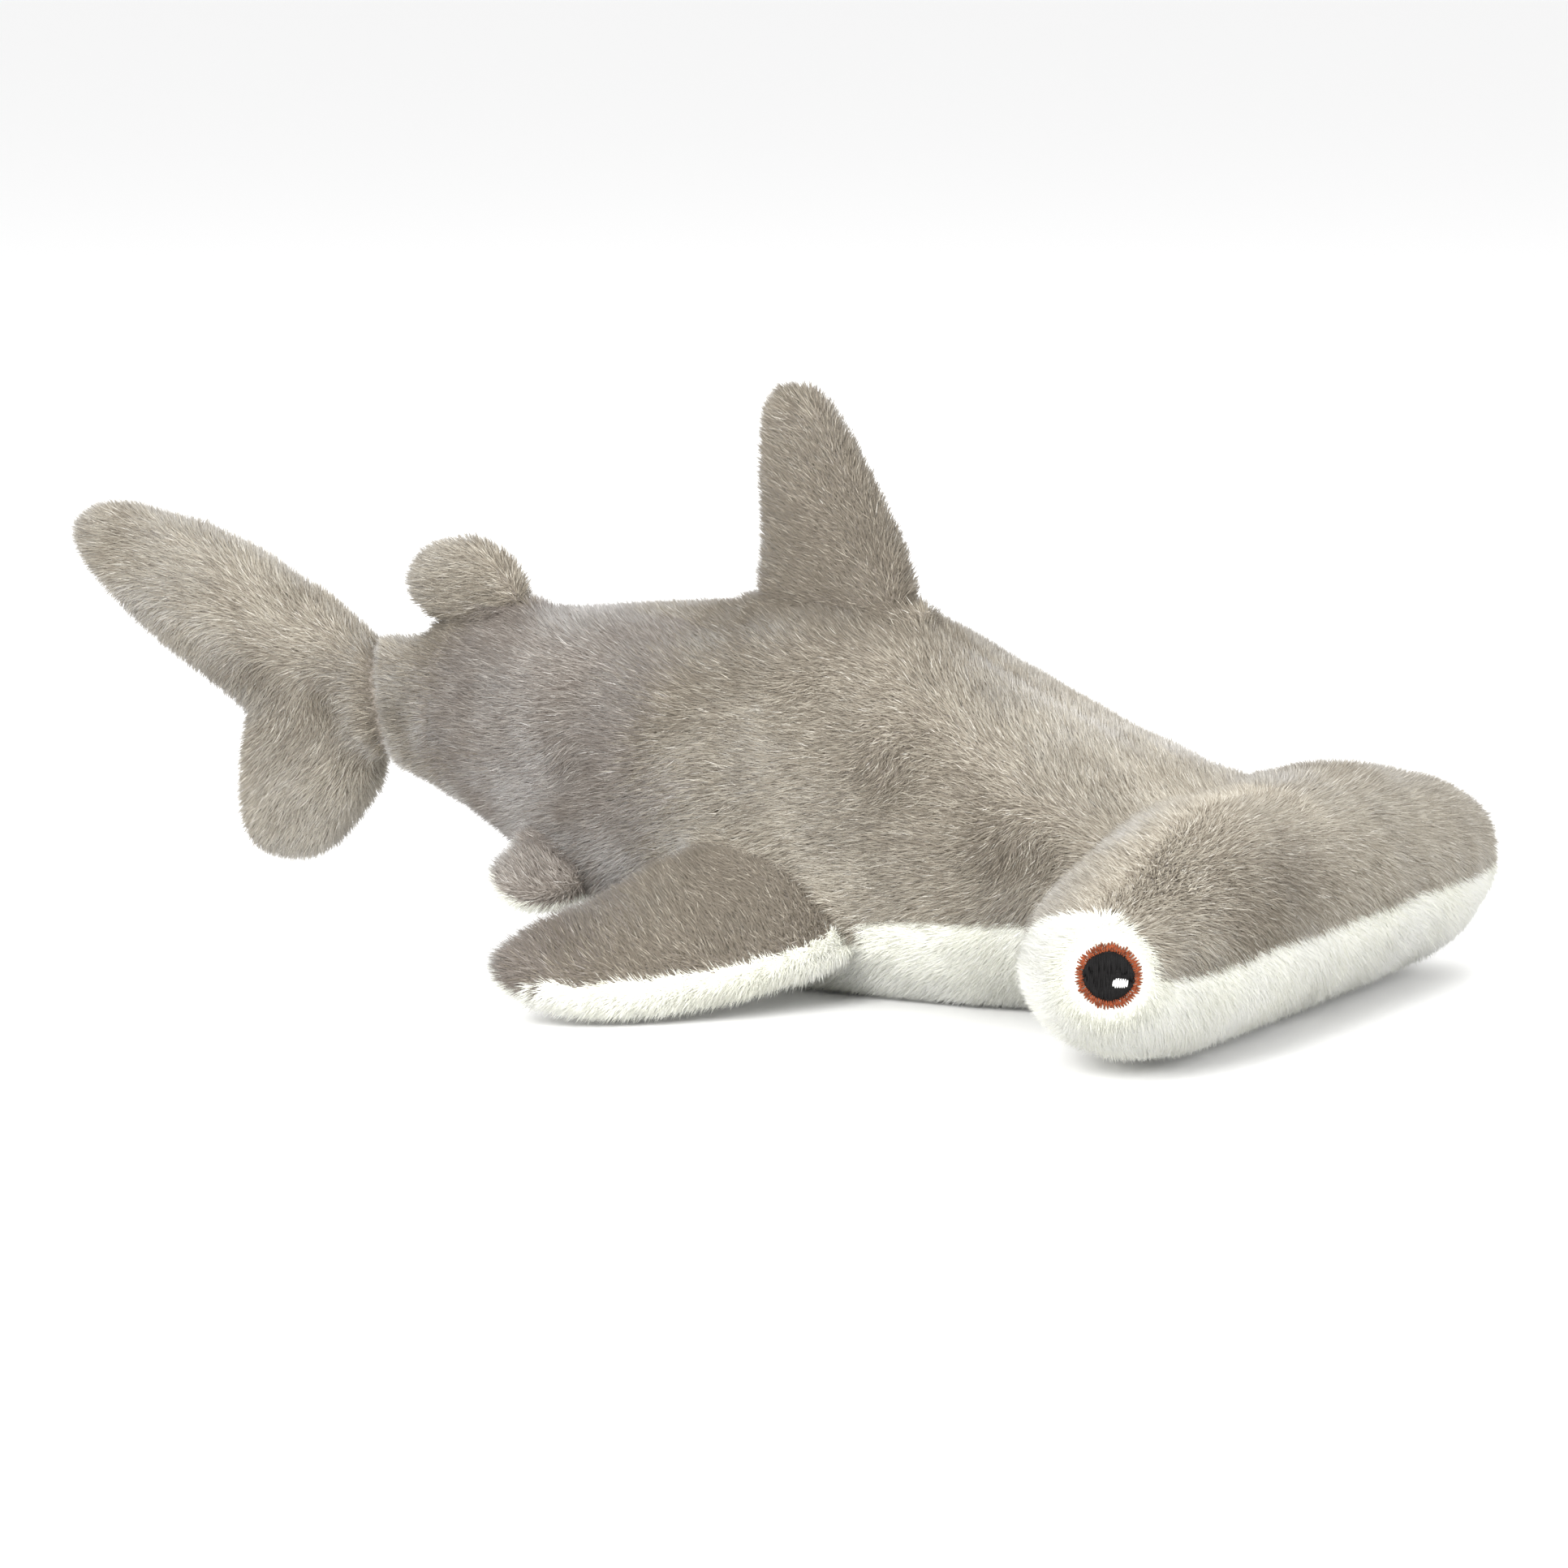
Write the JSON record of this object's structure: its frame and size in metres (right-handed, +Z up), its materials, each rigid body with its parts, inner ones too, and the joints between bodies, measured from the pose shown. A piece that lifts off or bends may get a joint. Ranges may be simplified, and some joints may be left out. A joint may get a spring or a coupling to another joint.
{
  "type": "plush hammerhead shark",
  "caption": "Soft stuffed hammerhead shark in short-pile fabric, grey above and cream below, with embroidered eyes and fins that flex at their seams.",
  "frame": {"origin": "middle of the bounding box, on the surface the belly rests on", "axes": "+X to the head, +Y to the shark's left, +Z up"},
  "size_m": [0.345, 0.1888, 0.1333],
  "materials": {
    "grey_plush": "short taupe grey pile",
    "cream_plush": "short cream white pile",
    "polyester_fill": "loose polyester fibre",
    "rust_thread": "rust embroidery thread",
    "black_thread": "black embroidery thread",
    "white_thread": "white embroidery thread"
  },
  "bodies": {
    "torso": {"back_panel_left": "grey_plush", "back_panel_right": "grey_plush", "belly_panel": "cream_plush", "hammer_top_panel": "grey_plush", "hammer_under_panel": "cream_plush", "body_stuffing": "polyester_fill", "eye_iris_left": "rust_thread", "eye_iris_right": "rust_thread", "eye_pupil_left": "black_thread", "eye_pupil_right": "black_thread", "eye_highlight_left": "white_thread", "eye_highlight_right": "white_thread"},
    "tail": {"tail_panel_left": "grey_plush", "tail_panel_right": "grey_plush", "tail_stuffing": "polyester_fill"},
    "caudal_fin": {"caudal_panel_left": "grey_plush", "caudal_panel_right": "grey_plush", "caudal_stuffing": "polyester_fill"},
    "dorsal_fin": {"dorsal_panel_left": "grey_plush", "dorsal_panel_right": "grey_plush", "dorsal_stuffing": "polyester_fill"},
    "second_dorsal_fin": {"second_dorsal_panel_left": "grey_plush", "second_dorsal_panel_right": "grey_plush", "second_dorsal_stuffing": "polyester_fill"},
    "pectoral_fin_left": {"pectoral_top_left": "grey_plush", "pectoral_under_left": "cream_plush", "pectoral_stuffing_left": "polyester_fill"},
    "pelvic_fin_left": {"pelvic_top_left": "grey_plush", "pelvic_under_left": "cream_plush", "pelvic_stuffing_left": "polyester_fill"},
    "pectoral_fin_right": {"pectoral_top_right": "grey_plush", "pectoral_under_right": "cream_plush", "pectoral_stuffing_right": "polyester_fill"},
    "pelvic_fin_right": {"pelvic_top_right": "grey_plush", "pelvic_under_right": "cream_plush", "pelvic_stuffing_right": "polyester_fill"}
  },
  "joints": [
    {"name": "tail_bend", "type": "hinge", "parent": "torso", "child": "tail", "pos_m": [-0.033, 0, 0.048], "axis": [0, 0, 1], "range_deg": [-16, 16], "stiffness_Nm_per_rad": 0.35},
    {"name": "caudal_sway", "type": "hinge", "parent": "tail", "child": "caudal_fin", "pos_m": [-0.081, 0, 0.054], "axis": [-0.1736, 0, 0.9848], "range_deg": [-28, 28], "stiffness_Nm_per_rad": 0.12},
    {"name": "dorsal_sway", "type": "hinge", "parent": "torso", "child": "dorsal_fin", "pos_m": [0.042, 0, 0.085], "axis": [1, 0, 0], "range_deg": [-22, 22], "stiffness_Nm_per_rad": 0.04},
    {"name": "second_dorsal_sway", "type": "hinge", "parent": "tail", "child": "second_dorsal_fin", "pos_m": [-0.052, 0, 0.0766], "axis": [0.9724, 0, 0.2334], "range_deg": [-20, 20], "stiffness_Nm_per_rad": 0.01},
    {"name": "pectoral_left_flap", "type": "hinge", "parent": "torso", "child": "pectoral_fin_left", "pos_m": [0.05, 0.0402, 0.0236], "axis": [0.9126, -0.1221, -0.3902], "range_deg": [-5, 35], "stiffness_Nm_per_rad": 0.08},
    {"name": "pectoral_right_flap", "type": "hinge", "parent": "torso", "child": "pectoral_fin_right", "pos_m": [0.05, -0.0402, 0.0236], "axis": [-0.9126, -0.1221, 0.3902], "range_deg": [-5, 35], "stiffness_Nm_per_rad": 0.08},
    {"name": "pelvic_left_flap", "type": "hinge", "parent": "torso", "child": "pelvic_fin_left", "pos_m": [-0.015, 0.0286, 0.023], "axis": [0.8994, -0.0799, -0.4297], "range_deg": [-15, 20], "stiffness_Nm_per_rad": 0.01},
    {"name": "pelvic_right_flap", "type": "hinge", "parent": "torso", "child": "pelvic_fin_right", "pos_m": [-0.015, -0.0286, 0.023], "axis": [-0.8994, -0.0799, 0.4297], "range_deg": [-15, 20], "stiffness_Nm_per_rad": 0.01}
  ]
}
